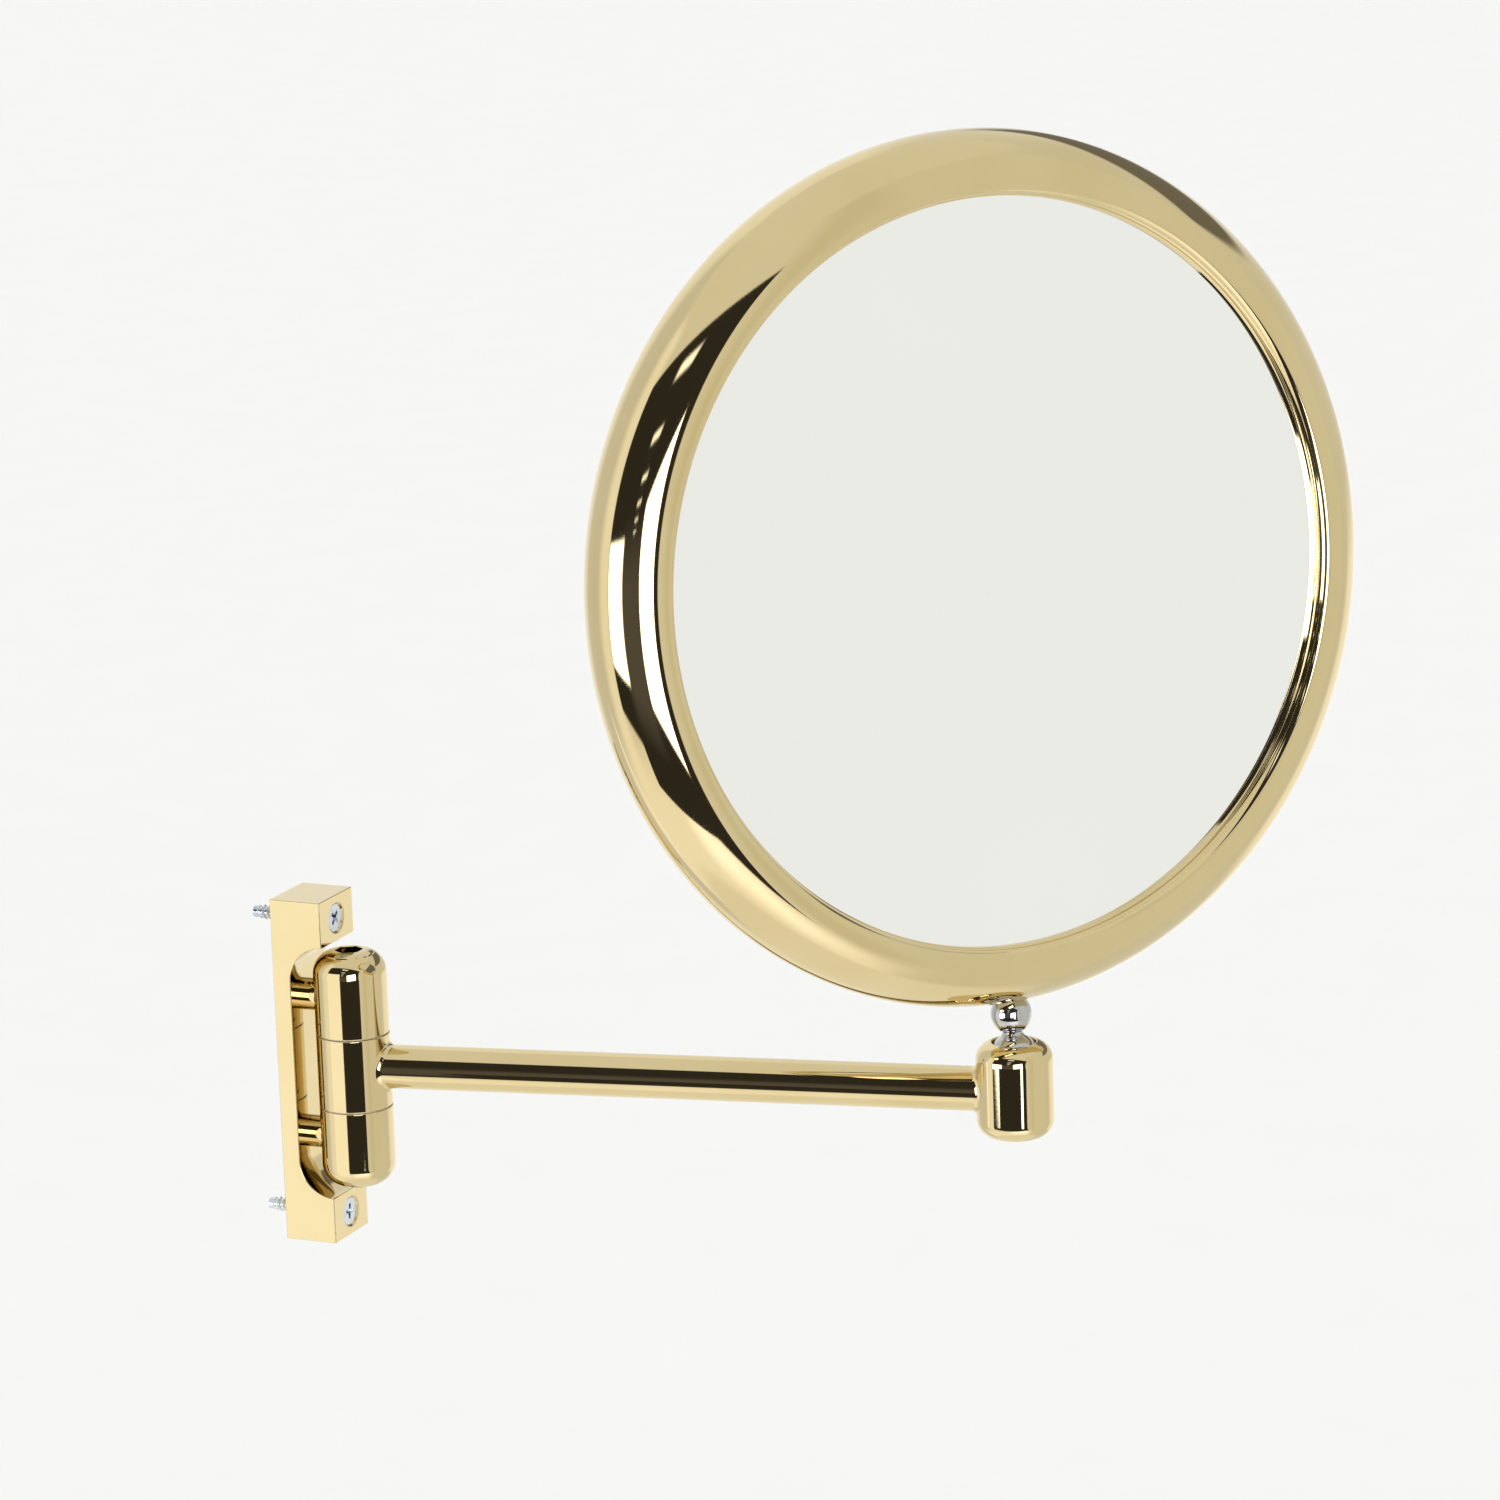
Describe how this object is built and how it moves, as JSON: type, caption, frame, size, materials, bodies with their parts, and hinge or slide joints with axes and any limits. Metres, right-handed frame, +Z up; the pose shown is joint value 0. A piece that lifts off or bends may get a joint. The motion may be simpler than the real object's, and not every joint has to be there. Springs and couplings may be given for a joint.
{
  "type": "extendable shaving mirror",
  "caption": "Round mirror in a hollow rolled rim on a ball joint, carried by a swinging arm on a slotted wall plate with a barrel hinge.",
  "frame": {"origin": "centre of the wall plate's back face, on the wall", "axes": "+Y into the wall, +X to the right and +Z up for someone facing the wall"},
  "size_m": [0.1911, 0.2749, 0.3018],
  "materials": {
    "polished_brass": "polished, clear lacquered",
    "plain_brass": "turned",
    "zinc_steel": "bright zinc plate",
    "spring_steel": "oiled",
    "chrome": "polished chrome plate",
    "nylon": "natural nylon",
    "mirror_glass": "silvered glass",
    "board": "plain sheet",
    "foam": "closed-cell foam"
  },
  "bodies": {
    "wall": {"wall_plate": "polished_brass", "wall_screws": "zinc_steel", "upper_post": "polished_brass", "lower_post": "polished_brass", "post_screws": "zinc_steel", "upper_knuckle": "polished_brass", "lower_knuckle": "polished_brass", "hinge_bolt": "polished_brass", "hinge_spring": "spring_steel", "upper_washer": "nylon", "lower_washer": "nylon"},
    "arm": {"arm_knuckle": "polished_brass", "hinge_bush": "plain_brass", "arm_tube": "polished_brass", "knuckle_spigot": "plain_brass", "socket_spigot": "plain_brass", "ball_housing": "polished_brass", "housing_plug": "polished_brass", "seat_spring": "spring_steel", "thrust_disc": "plain_brass"},
    "ball_seat": {"ball_seat": "nylon"},
    "ball_liner": {"ball_liner": "nylon"},
    "mirror": {"ball_stud": "chrome", "stud_boss": "plain_brass", "stud_washer": "zinc_steel", "stud_nut": "zinc_steel", "front_shell": "polished_brass", "rear_shell": "polished_brass", "joint_band": "plain_brass", "front_bezel": "polished_brass", "rear_bezel": "polished_brass", "front_glass": "mirror_glass", "rear_glass": "mirror_glass", "front_backing": "board", "rear_backing": "board", "spacer_ring": "foam", "centre_pad": "foam"}
  },
  "joints": [
    {"name": "arm_swing", "type": "hinge", "parent": "wall", "child": "arm", "pos_m": [0, -0.0185, 0], "axis": [0, 0, 1], "range_deg": [-100.3, 79.6]},
    {"name": "mirror_swivel", "type": "hinge", "parent": "arm", "child": "ball_seat", "pos_m": [0.03288, -0.19852, 0.0097], "axis": [0, 0, 1], "continuous": true},
    {"name": "mirror_lean", "type": "hinge", "parent": "ball_seat", "child": "ball_liner", "pos_m": [0.03288, -0.19852, 0.0097], "axis": [-0.595, -0.8038, 0], "range_deg": [-15, 15]},
    {"name": "mirror_tilt", "type": "hinge", "parent": "ball_liner", "child": "mirror", "pos_m": [0.03288, -0.19852, 0.0097], "axis": [0.8038, -0.595, 0], "range_deg": [-23, 32.8]}
  ]
}
